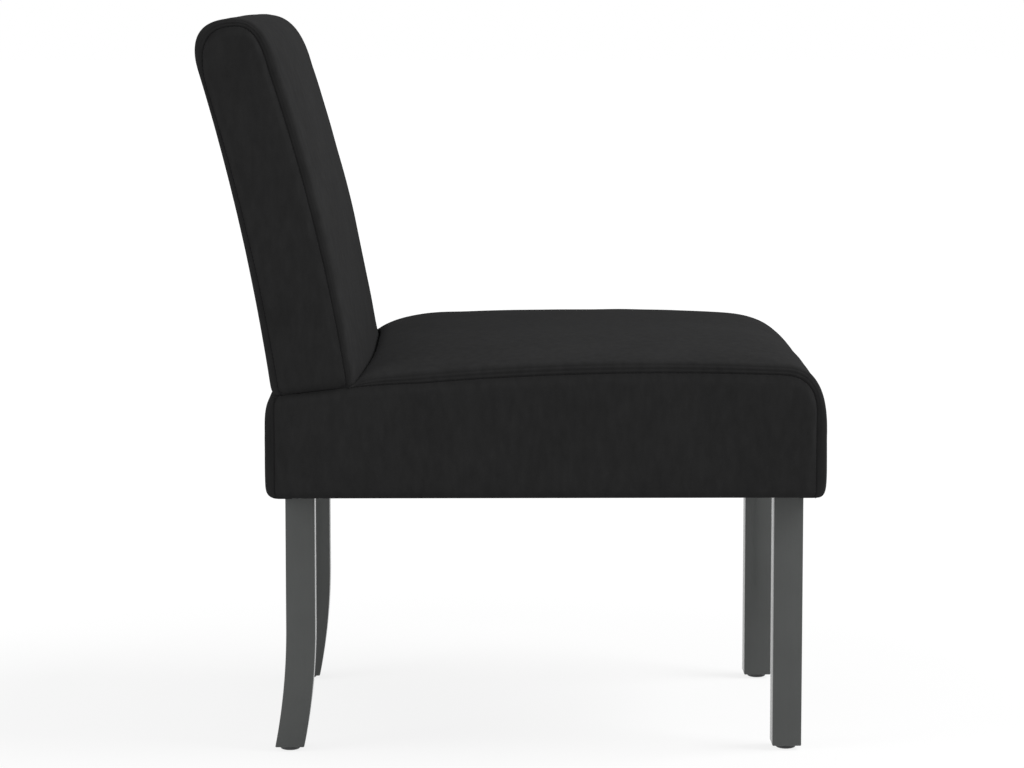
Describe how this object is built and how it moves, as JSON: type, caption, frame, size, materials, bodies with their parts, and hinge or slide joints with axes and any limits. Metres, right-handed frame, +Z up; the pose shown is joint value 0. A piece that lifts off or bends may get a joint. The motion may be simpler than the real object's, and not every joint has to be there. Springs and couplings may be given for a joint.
{
  "type": "slipper chair",
  "caption": "Armless slipper chair: low upholstered seat and leaning back in black velvet with padded sides, on straight front and swept rear wooden legs.",
  "frame": {"origin": "on the floor, under the middle of the chair's own box", "axes": "+Z up, the sitter faces -Y, +X is the sitter's left"},
  "size_m": [0.46, 0.6406, 0.76],
  "materials": {
    "velvet": "black upholstery velvet with a short matt nap and a faint sheen",
    "painted_wood": "dark grey satin paint on solid wood",
    "glide_plastic": "dark grey moulded plastic",
    "frame_wood": "planed unfinished softwood",
    "board": "brown hardboard",
    "foam": "cream polyurethane foam with polyester wadding",
    "webbing": "woven elastic upholstery webbing",
    "lining": "black spun-bonded dust cover cloth",
    "zinc_steel": "zinc-plated steel"
  },
  "bodies": {
    "root": {"seat_front_rail": "frame_wood", "seat_rear_rail": "frame_wood", "back_beam": "frame_wood", "seat_right_rail": "frame_wood", "seat_left_rail": "frame_wood", "corner_block_front_right": "frame_wood", "corner_block_rear_right": "frame_wood", "corner_block_front_left": "frame_wood", "corner_block_rear_left": "frame_wood", "seat_cross_strap_1": "webbing", "seat_cross_strap_2": "webbing", "seat_cross_strap_3": "webbing", "seat_long_strap_right": "webbing", "seat_long_strap_left": "webbing", "seat_foam": "foam", "seat_rear_padding": "foam", "seat_cover": "velvet", "seat_side_panel_right": "velvet", "seat_side_panel_left": "velvet", "dust_cover": "lining", "back_post_right": "frame_wood", "back_post_left": "frame_wood", "back_bottom_rail": "frame_wood", "back_top_rail": "frame_wood", "back_board": "board", "back_strap_1": "webbing", "back_strap_2": "webbing", "back_strap_3": "webbing", "back_foam": "foam", "back_cover": "velvet", "back_side_panel_right": "velvet", "back_side_panel_left": "velvet", "back_bolt_1": "zinc_steel", "back_nut_1": "zinc_steel", "back_bolt_2": "zinc_steel", "back_nut_2": "zinc_steel", "back_bolt_3": "zinc_steel", "back_nut_3": "zinc_steel", "front_leg_right": "painted_wood", "leg_bolt_front_right": "zinc_steel", "leg_nut_front_right": "zinc_steel", "leg_dowel_front_right": "frame_wood", "glide_front_right": "glide_plastic", "rear_leg_right": "painted_wood", "leg_bolt_rear_right": "zinc_steel", "leg_nut_rear_right": "zinc_steel", "leg_dowel_rear_right": "frame_wood", "glide_rear_right": "glide_plastic", "front_leg_left": "painted_wood", "leg_bolt_front_left": "zinc_steel", "leg_nut_front_left": "zinc_steel", "leg_dowel_front_left": "frame_wood", "glide_front_left": "glide_plastic", "rear_leg_left": "painted_wood", "leg_bolt_rear_left": "zinc_steel", "leg_nut_rear_left": "zinc_steel", "leg_dowel_rear_left": "frame_wood", "glide_rear_left": "glide_plastic"}
  },
  "joints": []
}
